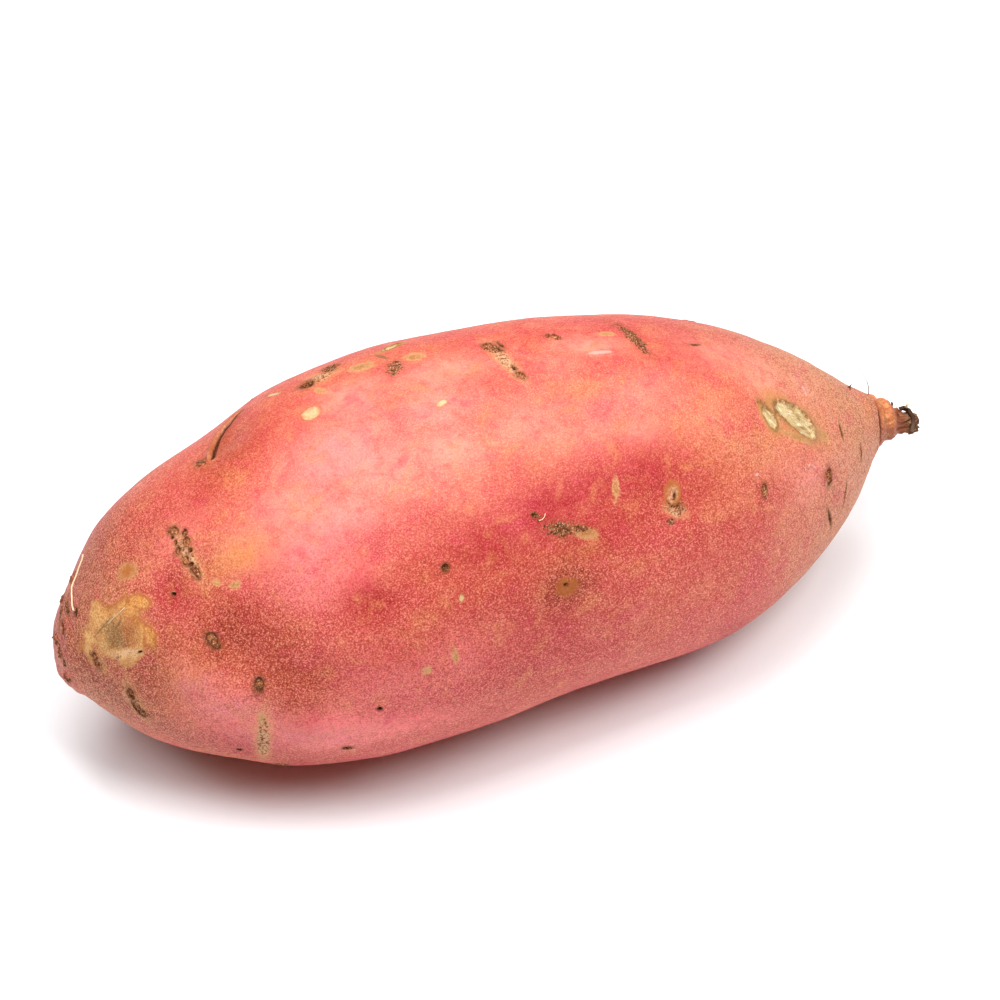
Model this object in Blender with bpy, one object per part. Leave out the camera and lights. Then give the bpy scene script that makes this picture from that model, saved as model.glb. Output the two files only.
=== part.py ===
"""A sweet potato: one swollen root, from its blunt crown end to the dried stub of its tap root.

The root lies along X on a small flat rest spot at z = 0, with the crown end at -X and the
stub at +X. Lengths are in millimetres until the finished mesh is scaled to metres.
"""

import math

import bmesh
import bpy
import numpy as np
from mathutils import Matrix, Vector

# Driving dimensions, in millimetres.
ROOT_LENGTH = 170.0
REST_SPOT_DEPTH = 0.5  # how much of the round belly the rest spot takes off
RING_SIDES = 64
BODY_RINGS = 60

MM = 0.001
CROWN_X = -ROOT_LENGTH / 2
STUB_X = ROOT_LENGTH / 2

# The swollen body, as (x, sideways lean, centre height, girth radius) along the root.
BODY_SECTIONS = (
    (-85.0, 1.3, 25.7, 0.0),
    (-84.6, 1.3, 25.7, 3.6),
    (-83.8, 1.2, 25.9, 6.0),
    (-82.0, 1.0, 26.6, 8.6),
    (-78.0, 0.5, 27.6, 13.6),
    (-72.0, 0.0, 29.0, 20.0),
    (-62.0, -1.4, 30.8, 25.8),
    (-48.0, -3.0, 32.7, 31.0),
    (-32.0, -3.2, 34.4, 34.3),
    (-16.0, -2.8, 35.0, 35.2),
    (0.0, -1.6, 34.6, 34.4),
    (16.0, -1.6, 33.4, 33.3),
    (32.0, -1.1, 31.4, 30.9),
    (46.0, -0.2, 29.6, 26.4),
    (58.0, 0.9, 27.8, 19.9),
    (68.0, 2.4, 26.5, 12.1),
    (74.0, 3.9, 25.8, 6.4),
    (77.0, 4.6, 25.3, 4.4),
)

# The collar and the dried, drooping stub beyond the neck, in the same terms.
STUB_SECTIONS = (
    (77.6, 4.8, 25.2, 4.1),
    (78.1, 4.8, 25.1, 4.4),
    (78.9, 4.8, 25.0, 4.4),
    (79.9, 4.7, 24.7, 4.0),
    (80.5, 4.6, 24.5, 3.3),
    (80.8, 4.6, 24.4, 2.4),
    (81.5, 4.5, 24.2, 2.1),
    (82.6, 4.3, 23.8, 2.0),
    (83.8, 4.1, 23.5, 2.1),
    (84.6, 4.0, 23.3, 1.8),
    (85.0, 4.0, 23.2, 1.0),
)

# Swells (height above 0) and hollows (below 0), as
# (x, angle round the root, reach along it, reach round it, height). Angles are in degrees
# from +Y towards +Z, so 90 is the top, 180 the -Y side and 270 the underside.
SWELLS = (
    (-52.0, 57.0, 8.0, 11.0, -1.3),
    (-33.0, 50.0, 12.0, 14.0, 0.5),
    (-57.0, 145.0, 8.0, 10.0, -0.7),
    (-46.0, 165.0, 8.0, 9.0, -0.7),
    (-64.0, 155.0, 6.0, 8.0, 0.6),
    (-48.0, 188.0, 9.0, 9.0, 0.8),
    (-56.5, 182.0, 3.0, 12.0, -0.6),
    (-2.0, 60.0, 9.0, 14.0, -0.5),
    (22.0, 150.0, 14.0, 12.0, -0.5),
    (-8.0, 170.0, 12.0, 10.0, -0.4),
    (38.0, 205.0, 12.0, 12.0, 0.6),
    (12.0, 225.0, 10.0, 9.0, -0.5),
    (-30.0, 5.0, 16.0, 16.0, 0.8),
    (18.0, 340.0, 14.0, 14.0, -0.9),
    (45.0, 15.0, 10.0, 12.0, 0.6),
    (-60.0, 335.0, 9.0, 11.0, -0.8),
    (55.0, 300.0, 9.0, 9.0, -0.6),
    (-40.0, 310.0, 12.0, 10.0, 0.4),
)

# Slow lobes that keep the girth from being round: (lobes, share of the radius, start angle,
# turn along the whole root), angles in degrees.
LOBES = (
    (2, 0.012, 20.0, 70.0),
    (3, 0.008, 100.0, -110.0),
    (5, 0.003, 40.0, 160.0),
)


def smooth_through(xs, values, x):
    """The value at x on a curve through the given points, with no overshoot between them."""
    step = np.diff(xs)
    slope = np.diff(values) / step
    tangent = np.zeros(len(xs))
    same_way = slope[:-1] * slope[1:] > 0
    near, far = 2 * step[1:] + step[:-1], step[1:] + 2 * step[:-1]
    blend = (near + far) / (
        near / np.where(same_way, slope[:-1], 1) + far / np.where(same_way, slope[1:], 1)
    )
    tangent[1:-1] = np.where(same_way, blend, 0.0)
    tangent[0], tangent[-1] = slope[0], slope[-1]
    k = int(np.clip(np.searchsorted(xs, x) - 1, 0, len(step) - 1))
    t = (x - xs[k]) / step[k]
    return (
        values[k] * (1 + 2 * t) * (1 - t) ** 2
        + tangent[k] * step[k] * t * (1 - t) ** 2
        + values[k + 1] * t**2 * (3 - 2 * t)
        + tangent[k + 1] * step[k] * t**2 * (t - 1)
    )


def section_at(sections, x):
    """(sideways lean, centre height, girth radius) at x."""
    table = np.array(sections)
    return tuple(smooth_through(table[:, 0], table[:, k], x) for k in (1, 2, 3))


def lobed(radius, x, angle):
    """The radius in one direction, with the slow lobes."""
    along = (x - CROWN_X) / ROOT_LENGTH
    share = sum(
        size * math.cos(lobes * (angle - math.radians(start + turn * along)))
        for lobes, size, start, turn in LOBES
    )
    return radius * (1 + share)


def swell_at(x, angle, radius):
    """How far the swells and hollows lift the skin there."""
    lift = 0.0
    for at_x, at_angle, reach_x, reach_round, height in SWELLS:
        turn = math.remainder(angle - math.radians(at_angle), math.tau)
        away = ((x - at_x) / reach_x) ** 2 + (turn * radius / reach_round) ** 2
        lift += height * math.exp(-away)
    return lift


def skin_point(sections, x, angle):
    """A point of the skin, in millimetres."""
    lean, height, radius = section_at(sections, x)
    reach = lobed(radius, x, angle) + swell_at(x, angle, radius)
    return Vector((x, lean + reach * math.cos(angle), height + reach * math.sin(angle)))


def body_stations():
    """Ring positions along the body, closer together towards its two ends."""
    first, last = BODY_SECTIONS[0][0], BODY_SECTIONS[-1][0]
    middle, half = (first + last) / 2, (last - first) / 2
    return [
        middle - half * math.cos(math.pi * k / BODY_RINGS)
        for k in range(1, BODY_RINGS + 1)
    ]


def add_ring(mesh, sections, x):
    """One closed ring of the skin; returns its edges."""
    made = bmesh.ops.create_circle(mesh, segments=RING_SIDES, radius=1.0, matrix=Matrix())
    for vert in made["verts"]:
        vert.co = skin_point(sections, x, math.atan2(vert.co.y, vert.co.x))
    return list({edge for vert in made["verts"] for edge in vert.link_edges})


def close_end(mesh, ring, tip):
    """Fans the open ring in to one point."""
    cap = bmesh.ops.edgeloop_fill(mesh, edges=ring)["faces"]
    centre = bmesh.ops.poke(mesh, faces=cap)["verts"][0]
    centre.co = tip


def cut_rest_spot(mesh):
    """Slices the belly off flat, where the root rests."""
    floor = min(vert.co.z for vert in mesh.verts) + REST_SPOT_DEPTH
    everything = mesh.verts[:] + mesh.edges[:] + mesh.faces[:]
    sliced = bmesh.ops.bisect_plane(
        mesh, geom=everything, plane_co=(0, 0, floor), plane_no=(0, 0, -1), clear_outer=True
    )
    rim = [e for e in sliced["geom_cut"] if isinstance(e, bmesh.types.BMEdge)]
    bmesh.ops.holes_fill(mesh, edges=rim, sides=0)


def seat(mesh):
    """Moves the root so that its rest spot is at z = 0 and its box is centred on the Z axis."""
    low = Vector([min(v.co[k] for v in mesh.verts) for k in range(3)])
    high = Vector([max(v.co[k] for v in mesh.verts) for k in range(3)])
    centre = (low + high) / 2
    bmesh.ops.translate(mesh, verts=mesh.verts, vec=(-centre.x, -centre.y, -low.z))


def skin_material():
    material = bpy.data.materials.new("pink_skin")
    material.use_nodes = True
    shader = material.node_tree.nodes["Principled BSDF"]
    shader.inputs["Base Color"].default_value = (0.72, 0.16, 0.12, 1.0)
    shader.inputs["Roughness"].default_value = 0.55
    return material


def build_root():
    mesh = bmesh.new()
    rings = [add_ring(mesh, BODY_SECTIONS, x) for x in body_stations()]
    rings += [add_ring(mesh, STUB_SECTIONS, section[0]) for section in STUB_SECTIONS]
    for ring, following in zip(rings, rings[1:]):
        bmesh.ops.bridge_loops(mesh, edges=ring + following)
    _, lean, height, _ = BODY_SECTIONS[0]
    close_end(mesh, rings[0], Vector((CROWN_X, lean, height)))
    _, lean, height, _ = STUB_SECTIONS[-1]
    close_end(mesh, rings[-1], Vector((STUB_X, lean, height)))
    cut_rest_spot(mesh)
    seat(mesh)
    bmesh.ops.scale(mesh, verts=mesh.verts, vec=(MM, MM, MM))
    bmesh.ops.triangulate(mesh, faces=mesh.faces)
    bmesh.ops.recalc_face_normals(mesh, faces=mesh.faces)
    data = bpy.data.meshes.new("sweet_potato")
    mesh.to_mesh(data)
    mesh.free()
    data.shade_smooth()
    data.materials.append(skin_material())
    root = bpy.data.objects.new("sweet_potato", data)
    bpy.context.scene.collection.objects.link(root)
    return root


def main():
    for thing in list(bpy.data.objects):
        bpy.data.objects.remove(thing)
    build_root()


if __name__ == "__main__":
    main()
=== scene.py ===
import math

import bmesh
import bpy
import numpy as np
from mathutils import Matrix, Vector, noise


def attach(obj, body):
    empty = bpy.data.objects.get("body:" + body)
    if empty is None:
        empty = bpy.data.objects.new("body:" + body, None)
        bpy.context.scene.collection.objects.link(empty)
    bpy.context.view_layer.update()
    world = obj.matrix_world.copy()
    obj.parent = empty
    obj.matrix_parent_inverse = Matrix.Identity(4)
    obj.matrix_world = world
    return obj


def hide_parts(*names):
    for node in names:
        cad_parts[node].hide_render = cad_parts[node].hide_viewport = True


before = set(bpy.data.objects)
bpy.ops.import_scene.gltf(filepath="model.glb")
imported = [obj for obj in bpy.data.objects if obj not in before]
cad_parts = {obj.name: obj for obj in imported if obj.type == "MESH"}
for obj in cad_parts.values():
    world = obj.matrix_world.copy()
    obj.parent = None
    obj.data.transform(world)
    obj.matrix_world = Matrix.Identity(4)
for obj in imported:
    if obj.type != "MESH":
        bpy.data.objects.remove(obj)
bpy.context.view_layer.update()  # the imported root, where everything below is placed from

mm = 0.001
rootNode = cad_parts["sweet_potato"]


def deselectAll():
    bpy.ops.object.select_all(action="DESELECT")


def pickOnly(obj):
    deselectAll()
    obj.select_set(True)
    bpy.context.view_layer.objects.active = obj


def applyModifier(obj, kind, **settings):
    pickOnly(obj)
    modifier = obj.modifiers.new(kind.title(), kind)
    for name, value in settings.items():
        setattr(modifier, name, value)
    bpy.ops.object.modifier_apply(modifier=modifier.name)


def smoothStep(low, high, x):
    t = np.clip((x - low) / (high - low), 0, 1)
    return t * t * (3 - 2 * t)


def hump(x, middle, width):
    return np.exp(-(((x - middle) / width) ** 2))


def readPoints(mesh):
    co = np.empty(len(mesh.vertices) * 3, np.float32)
    mesh.vertices.foreach_get("co", co)
    return co.reshape(-1, 3).astype(float) / mm


def writePoints(mesh, points):
    mesh.vertices.foreach_set("co", (points * mm).astype(np.float32).ravel())
    mesh.update()


def readNormals(mesh):
    out = np.empty(len(mesh.vertices) * 3, np.float32)
    mesh.vertex_normals.foreach_get("vector", out)
    return out.reshape(-1, 3).astype(float)


def wander(points, size, seed=0.0):
    # slow noise about 0 at each point, with lumps about `size` mm across
    shift = Vector((seed * 13.7, seed * 7.1, seed * 3.3))
    return np.array([noise.noise(Vector(p) / size + shift) for p in points])


# The root's middle line. A place on the skin is (mm along the root, degrees round it),
# counted from +Y towards +Z: 90 is the top, 180 the front, 270 the underside.

middleStations = np.linspace(-84.0, 84.0, 85)
middleReach = 3.2  # mm each way that one station averages


def findMiddle():
    points = np.unique(np.round(readPoints(rootNode.data), 4), axis=0)
    near = [np.abs(points[:, 0] - x) < middleReach for x in middleStations]
    return np.array([points[pick, 1:].mean(0) for pick in near])


rootMiddle = findMiddle()


def middleAt(x):
    return np.stack([np.interp(x, middleStations, rootMiddle[:, k]) for k in (0, 1)], axis=-1)


def aroundOf(points):
    away = points[:, 1:] - middleAt(points[:, 0])
    return np.degrees(np.arctan2(away[:, 1], away[:, 0])) % 360


def onSkin(form, along, around):
    # the point of the skin there and its outward normal, in mm
    y, z = middleAt(along)
    turn = math.radians(around)
    start = Vector((along, y, z)) * mm
    hit, place, normal, _ = form.ray_cast(start, Vector((0, math.cos(turn), math.sin(turn))))
    if not hit:
        raise ValueError(f"nothing of the skin at {along}, {around}")
    return np.array(place) / mm, np.array(normal)


# What marks the skin. Each mark is (mm along, degrees round, length, width, turn of its long side).

skinMarks = {
    "scar": [  # where a side root broke off: a dark broken ring round a tan heart
        (-62.4, 95, 2.3, 1.8, -36), (-60.8, 98, 1.6, 1.2, 70), (-61, 102, 2.1, 1.6, 70),
        (-62.7, 104, 1.5, 1.3, 70), (-62, 109, 1.8, 1.4, 70), (-61, 115, 2.4, 1.3, -76),
        (-61.5, 141.5, 2.9, 2.3, -66), (-55.6, 162, 3.1, 1.9, 80), (-75.4, 169, 2.6, 1.8, -72),
        (-74.9, 180, 3.4, 1.3, -55), (0.3, 70, 2.2, 1.8, -23), (2.5, 88, 2.4, 1.7, -70),
        (56.4, 148.5, 3.4, 2, 76), (40.2, 142, 2.6, 1.4, 74), (-79.5, 144, 3.2, 1.7, -74),
        (12, 72, 2.2, 1.2, -38),
    ],
    "pit": [  # small and nearly black holes
        (-32.4, 62, 3.3, 3.6, -48), (-21.6, 138, 1.7, 1.5, 75), (-42.5, 194, 2.2, 1.5, -17),
        (-36.7, 178, 1.2, 1, 0), (-59.9, 198, 1.2, 1, 20), (-80.6, 94, 2.2, 1.2, 58),
        (-83.1, 91.5, 3, 1.1, 83), (-60.8, 106, 1.1, 0.9, 70), (-62.7, 100, 1, 0.8, 70),
        (-61.4, 111.5, 1.2, 0.9, 0), (-62.9, 97.5, 0.9, 0.7, 0), (-65.6, 120, 1.1, 0.8, -18),
        (1.8, 74, 1.6, 0.9, -63), (2.2, 84, 1.8, 0.9, 88), (-4, 133, 1.2, 0.9, -42),
        (-0.9, 156, 1.1, 0.7, -18),
    ],
    "crack": [  # thin dark splits
        (62.4, 127, 3.4, 0.8, 81), (66.6, 149, 2.9, 0.7, 72), (56.1, 173, 6.2, 0.9, -75),
        (60.5, 166, 5, 0.6, 68), (37.6, 81, 2.2, 0.7, 9), (2.4, 71, 3, 0.8, -79),
        (22.5, 137, 1.9, 0.7, 70), (-72.9, 142, 1.4, 0.4, 16),
    ],
    "vein": [  # thin brown lines
        (-77.5, 121.5, 5, 0.4, 20), (-18.2, 62, 3.8, 0.9, -72), (47.6, 113, 2.6, 0.8, 80),
        (-75, 124, 3, 0.5, 30),
    ],
    "cork": [  # rough tan and brown speckle that joins the scars of a row
        (-61.5, 108, 9.6, 2.2, -80), (-56.2, 190, 13.6, 2.4, 88), (-29.4, 60.5, 5.4, 3.4, 16),
        (1.4, 79, 11.8, 2.2, -81), (22, 141.5, 4.2, 2.2, -35), (-79.4, 144, 4, 2.1, -58),
        (-76.2, 142.8, 2.2, 1.4, -30), (56.4, 151, 2.6, 1.4, 76), (47.8, 114.5, 4, 1.3, -85),
        (-75.1, 176, 7.6, 2.8, -68),
    ],
    "scab": [  # darker, brown and black crumbs
        (-27, 56.5, 3.2, 4, -20), (26.4, 76, 10.9, 2.3, -80), (-17.5, 71, 2.6, 4.6, -23),
        (-0.1, 139, 5.4, 2.6, -19), (0.6, 72, 3.8, 2.2, -62), (-3.6, 133, 2.2, 0.9, -42),
        (20.6, 145, 1.6, 1.1, -17), (3.4, 140, 4, 1.4, -20), (45.2, 110.4, 2.6, 2.2, -60),
        (22.2, 139.5, 3.4, 1.8, -30), (12, 72, 3, 1.3, -38), (-53.9, 68, 2.6, 2.4, -65),
        (-61.1, 144, 2.2, 1.7, -62), (-74.4, 181, 3.8, 1.9, -30), (-82.6, 62, 3, 1.4, 40),
        (-81.6, 74, 3.4, 1.2, 80), (-84.4, 110, 2.4, 1.2, 80), (-84.3, 150, 2.2, 1, 80),
        (-84.2, 200, 2.6, 1.2, 80), (-80.8, 246, 3.2, 1.2, 70),
    ],
    "straw": [  # healed wounds, pale and streaked lengthwise inside a brown outline
        (51.6, 116.5, 10.6, 4.8, -30), (52.6, 121, 7.8, 3.6, -36), (45.9, 116.4, 5, 2.8, -74),
        (-15.2, 56, 5.2, 1.8, 30),
    ],
    "tanSpot": [(22.2, 136, 3.6, 2.6, 78)],  # a soft pink-tan wound
    "ochre": [  # flat yellow-brown stains
        (-31, 69, 3.6, 1.8, -68), (-22.5, 64.5, 5.4, 3.6, -15), (-13.2, 67.5, 4.8, 3.2, 0),
        (11.7, 131, 4.8, 1.6, 74), (4.4, 142, 5.2, 2.5, -26), (-0.7, 157, 4.8, 4, -18),
        (-28, 167, 2.4, 2, 31), (-22.7, 165, 4.6, 1.5, -82), (-58.4, 121, 2.2, 1.6, -17),
        (-55.7, 124, 2.4, 1.7, 0), (21.9, 73, 4.2, 2, -4), (-71.2, 100.5, 5.6, 3.4, -24),
        (-56, 177, 3.6, 1.4, 84), (50.4, 125.5, 9.6, 1.7, -24), (46.6, 120, 3.6, 1.8, -50),
        (57.1, 127, 5.6, 2.2, -39),
    ],
    "cream": [  # pale spots, where the thin outer skin is gone
        (-34.5, 78, 3.7, 3.4, 14), (-13, 91, 2.4, 1.3, 21), (-37.9, 57, 3.9, 1.1, -52),
        (-19.9, 148, 1.5, 1, 83),
    ],
    "flake": [  # whitish shreds of loose skin
        (18.5, 83, 5.4, 1.2, -1), (56.7, 101, 1.6, 0.9, -60), (56.6, 104, 1.1, 0.6, -86),
        (-65.5, 119, 0.7, 0.35, 0), (51.8, 139, 1.4, 0.5, 30), (53, 140.5, 1.1, 0.5, -50),
        (50.6, 140, 0.9, 0.5, 70), (39.5, 136, 1, 0.6, 20), (55.4, 151, 1.3, 0.6, 75),
        (-83.4, 88, 1.6, 0.5, 70),
    ],
    "patch": [  # the big ochre patch near the crown
        (-76, 132, 12, 8.8, -6), (-73, 134, 6.4, 6, 0), (-76.8, 120, 14.4, 6.4, 9),
        (-70.9, 117.5, 6.4, 3.3, -22), (-72.4, 120, 4.8, 4.6, 0), (-77.6, 108, 4.4, 3.4, 20),
        (-70.9, 135.5, 4.6, 3.3, 83), (-75, 141.5, 10.8, 3.2, 0), (-79.8, 127, 8, 3.6, 60),
    ],
    "core": [(-75.3, 130.5, 8.4, 5.4, -8)],  # its olive middle
    "bleach": [(-74.8, 141.5, 8.6, 1.6, 2)],  # its pale lower edge
    "burr": [  # dry bumps on the crown
        (-81.4, 44, 1.8, 1.8, 0), (-84.4, 60, 1.4, 1.4, 0), (-84.4, 85, 2.2, 1.6, 0),
        (-84.5, 130, 1.6, 1.4, 0), (-84.3, 187, 1.6, 1.2, 0), (-78.9, 52, 2.4, 1.8, 0),
    ],
}

# Wide soft zones of colour, as (mm along, degrees round, mm reach along, mm reach round, strength). Most are
# the skin's own colour; some are painted light and shade, as noted at each list.

skinZones = {
    # pale: paler skin, and on the top from -63 to 25 mm along also a painted sheen; the zones at 180 to 186
    # degrees round, low on the front, are painted light thrown up from the floor, and the one at -66 mm, 158
    # degrees a painted highlight on a swelling
    "pale": [
        (-53, 113, 6, 4, 0.5), (-44, 107, 7, 5, 0.6), (-33, 97, 9, 7, 0.45), (-27, 106, 8, 5, 0.5),
        (-13, 91, 7, 6, 0.45), (-15, 107, 6, 4, 0.6), (0, 106, 8, 5, 0.4), (-10, 78, 9, 4, 0.6),
        (12, 114, 8, 3, 0.3), (42, 84, 9, 5, 0.6), (48, 94, 6, 6, 0.6), (-27, 76, 6, 4, 0.7),
        (57, 100, 5, 6, 0.4), (25, 100, 7, 5, 0.3), (10, 84, 6, 4, 0.3), (-37, 116, 8, 4, 0.6),
        (-47, 183, 11, 4, 0.9), (-35, 186, 10, 3, 0.6), (-60, 180, 6, 3, 0.5), (-66, 158, 4, 3, 0.5),
        (-52, 117, 5, 3, 0.6), (-63, 96, 5, 4, 0.4), (18, 79, 6, 3, 0.7), (20, 115, 4, 3, 0.6),
        (52, 142, 7, 6, 0.5), (60, 150, 5, 6, 0.5),
    ],
    # blush: pink skin; the zones at 184 to 187 degrees round, low on the front, are painted light thrown up
    # from the floor, and those at -61 mm, 172 degrees and -65 mm, 158 degrees painted highlights on swellings
    "blush": [
        (-46, 122, 6, 4, 1), (-42, 131, 6, 4, 1), (-37, 133, 4, 3, 1.2), (-47, 184, 13, 5, 1.4),
        (-33, 187, 10, 4, 1.3), (-61, 172, 6, 5, 1.1), (-65, 158, 4, 4, 1.2), (-27, 84, 5, 4, 0.6),
        (-63, 95, 6, 4, 0.5), (50, 140, 8, 8, 0.4), (-28, 166, 16, 6, 1), (-68, 176, 5, 4, 0.6),
        (-33, 97, 9, 7, 0.4), (-60, 186, 9, 6, 1.2), (-43, 158, 5, 4, 0.5),
    ],
    # pink: pinker skin; the zones at -65 mm, 158 degrees and -60 mm, 171 degrees are painted highlights on
    # swellings, and those at 184 and 187 degrees round, low on the front, painted light thrown up from the
    # floor
    "pink": [
        (-65, 158, 4, 3, 1.2), (-60, 171, 6, 3, 0.8), (-45, 128, 6, 5, 0.7), (-33, 97, 6, 4, 0.4),
        (-37, 118, 5, 4, 0.4), (-47, 184, 10, 3, 1), (-57, 187, 6, 3, 0.7), (-25, 169, 12, 5, 0.5),
        (-5, 134, 6, 3, 0.3), (-14, 91, 5, 4, 0.3), (15, 104, 8, 3, 0.3), (52, 146, 5, 4, 0.3),
    ],
    # peach: peach skin; the zones on the top at -22, -16, 8 and 30 mm along also carry a painted sheen
    "peach": [
        (-22, 108, 20, 9, 0.4), (8, 104, 12, 7, 0.5), (-16, 118, 8, 5, 0.4), (30, 112, 9, 6, 0.6),
        (-40, 152, 6, 4, 0.3), (60, 120, 10, 12, 0.5), (-70, 180, 5, 6, 0.6), (-46, 173, 6, 4, 0.6),
        (-68, 125, 2.4, 2.4, 0.6),
    ],
    "tan": [
        (-82, 140, 7, 14, 1.3), (-78, 160, 6, 8, 0.9), (50, 148, 7, 6, 0.8), (60, 152, 7, 10, 1.1),
        (43, 126, 6, 6, 0.6), (55, 141, 6, 6, 0.7), (68, 110, 10, 22, 1.2), (58, 84, 8, 8, 0.8),
        (-80, 200, 7, 16, 1.1), (58, 122, 6, 10, 0.7), (-76, 96, 7, 7, 0.8), (-80, 112, 4, 12, 0.8),
        (62, 96, 7, 10, 0.6), (-76, 146, 5, 4, 0.6), (66, 140, 6, 12, 0.6), (37, 127, 8, 6, 0.5),
        (48, 138, 8, 7, 0.6),
    ],
    "amber": [
        (-54, 115, 6, 3.2, 1.2), (-58, 118, 4, 3, 0.9), (-50, 121, 4, 3, 0.5), (-23, 63, 12, 4, 0.5),
        (12, 98, 3, 2, 0.7), (50.5, 120, 8, 4, 0.5), (31, 128, 4, 8, 0.3), (-2, 121, 4, 3, 0.4),
        (73, 92, 5, 7, 0.5), (-50, 80, 3, 5, 0.5), (36, 104, 6, 4, 0.3), (-2, 153, 5, 5, 0.4),
        (47.5, 114, 2, 3, 0.6), (-70, 150, 5, 4, 0.4), (56, 130, 5, 3, 0.5), (-73, 165, 7, 8, 0.7),
        (-66, 150, 5, 5, 0.5), (-75, 96, 7, 9, 0.6),
    ],
    # rust: rust-red skin; the zones from -60 to -50 mm along and 138 to 169 degrees round are also painted
    # shade in the hollow between the swellings
    "rust": [
        (-58, 138, 6, 5, 1.2), (-60, 147, 6, 5, 1), (-51, 147, 5, 4, 1), (-50, 161, 7, 5, 1.2),
        (-50, 169, 6, 4, 0.9), (-48, 66, 5, 5, 0.9), (-51, 76, 6, 6, 0.9), (20, 126, 4, 3, 0.3),
        (-59, 126, 4, 4, 0.7), (-24, 137, 7, 4, 0.6), (-20, 150, 18, 8, 0.4), (-6, 145, 7, 4, 0.5),
        (-13, 178, 14, 8, 0.4), (38, 70, 16, 5, 0.3), (-73, 158, 5, 5, 0.8), (-68, 142, 3, 5, 0.5),
        (58, 158, 6, 6, 0.3), (-64, 86, 6, 5, 0.5), (18, 133, 10, 4, 0.7), (2, 146, 8, 4, 0.6),
        (-1, 157, 4, 3, 0.8), (-52, 142, 6, 4, 0.7), (-47, 72, 5, 3, 0.5), (-30, 158, 8, 5, 0.4),
        (-50, 176, 4, 4, 0.5), (56.4, 148, 2.6, 1.8, 0.9), (-63.5, 141, 3.5, 3.5, 0.6),
        (-26, 168, 6, 5, 0.5), (40.2, 142, 2.2, 1.6, 0.7), (-60, 118, 3, 3, 0.5), (-40, 130, 30, 4, 0.2),
        (52, 133, 5, 3, 0.3),
    ],
    # brown: browner skin; the zones round the crown's end at -83 and -84 mm and at -80 mm, 30 degrees are
    # also painted shade along its outline, and the one at -58 mm, 140 degrees painted shade in the hollow
    "brown": [
        (-77, 167, 8, 8, 0.7), (-83, 95, 4, 30, 1), (-79, 100, 5, 8, 0.8), (-66, 196, 10, 6, 0.5),
        (-74, 72, 9, 8, 0.9), (-62, 110, 5, 3, 0.5), (76, 150, 3, 8, 0.6), (-71, 90, 8, 7, 0.6),
        (-72, 148, 4, 3, 0.6), (-83, 20, 5, 16, 1), (-84, 330, 4, 14, 1), (-80, 30, 6, 10, 0.7),
        (-83, 270, 4, 8, 0.6), (-78, 60, 5, 8, 0.6), (-74, 168, 4, 6, 0.6), (-0.7, 157, 4, 3.4, 1.4),
        (-79, 128, 5, 10, 0.3), (-58, 140, 5, 4, 0.3),
    ],
    "magenta": [
        (-3, 132, 6, 4, 0.8), (-51, 127, 7, 4, 0.4), (-66, 121, 4, 4, 0.6), (-26, 178, 20, 4, 0.4),
        (-70, 82, 8, 4, 0.3), (-58, 199, 6, 4, 0.6), (-34, 124, 5, 3, 0.4),
    ],
    # crimson: deep red skin; the wide zone at -6 mm, 168 degrees low on the front and those at -56 mm, 140
    # degrees and -53 mm, 151 degrees are also painted shade
    "crimson": [
        (18, 128, 10, 5, 1), (8, 129, 10, 5, 1), (-13, 137, 8, 5, 1), (0, 134, 9, 6, 1.1),
        (26, 134, 7, 5, 0.8), (-35, 143, 5, 4, 1), (-65.5, 121, 3.5, 3.5, 1), (-6, 168, 14, 10, 0.7),
        (-45, 76, 6, 4, 0.4), (-57, 88, 4, 3, 0.5), (-20, 127, 6, 3, 0.5), (-14, 152, 12, 5, 0.5),
        (44, 146, 4, 3, 0.4), (7, 141, 10, 6, 0.9), (-4, 122, 6, 4, 0.4), (30, 84, 8, 3, 0.3),
        (30, 150, 14, 8, 0.4), (23, 118, 5, 3, 0.4), (-56, 140, 4, 4, 0.5), (-34, 160, 12, 6, 0.5),
        (10, 104, 6, 3, 0.3), (-53, 151, 4, 4, 0.4),
    ],
    "gold": [
        (-70.6, 135, 2.2, 4, 0.9), (-70.6, 117, 4, 2, 0.9), (-81.6, 126, 1.6, 5, 0.6),
        (-75, 111, 5, 1.4, 0.6), (-72.4, 126, 2, 2, 0.5), (-71.2, 100.5, 1.8, 1.3, 1),
    ],
}

# Dents (below 0) and swellings of the skin, as (mm along, degrees round, reach along, reach round, mm).

skinDents = [
    (-65.6, 120, 2.6, 2.6, -0.55), (-58.4, 146, 5, 5, -0.6), (-51, 157, 7, 4, -0.5),
    (-60.5, 167, 5, 3.5, 0.6), (-43, 188, 8, 4, 0.4), (-35.3, 143, 3.4, 3, -0.35), (-48, 65, 4, 3.6, -0.6),
    (20.5, 139, 4, 4, -0.35), (-3, 133, 4, 3, -0.3), (-66, 158, 4, 3, 0.4), (-16, 168, 9, 6, -0.35),
    (2, 80, 8, 3, -0.3), (74.2, 95, 2.6, 5, 0.5), (-84.3, 275, 2.2, 4, 0.8), (-81.2, 250, 3, 4, -0.8),
    (-42, 131, 6, 4, 0.3), (-46, 184, 9, 3, 0.35),
]

# The side that lies away from the light has rows of scars too, drawn once from a fixed seed.

hiddenSide = {
    "seed": 11,
    "rows": 13,
    "aroundFrom": 205,  # degrees: past the front, under the root and up its back
    "aroundTo": 405,
    "looks": {"scar": (2.4, 1.7, 0.5), "pit": (1.5, 1.2, 0.3), "crack": (3.2, 0.8, 0.2)},  # size, chance
    "stains": 16,
    "zones": 40,
}


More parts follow.
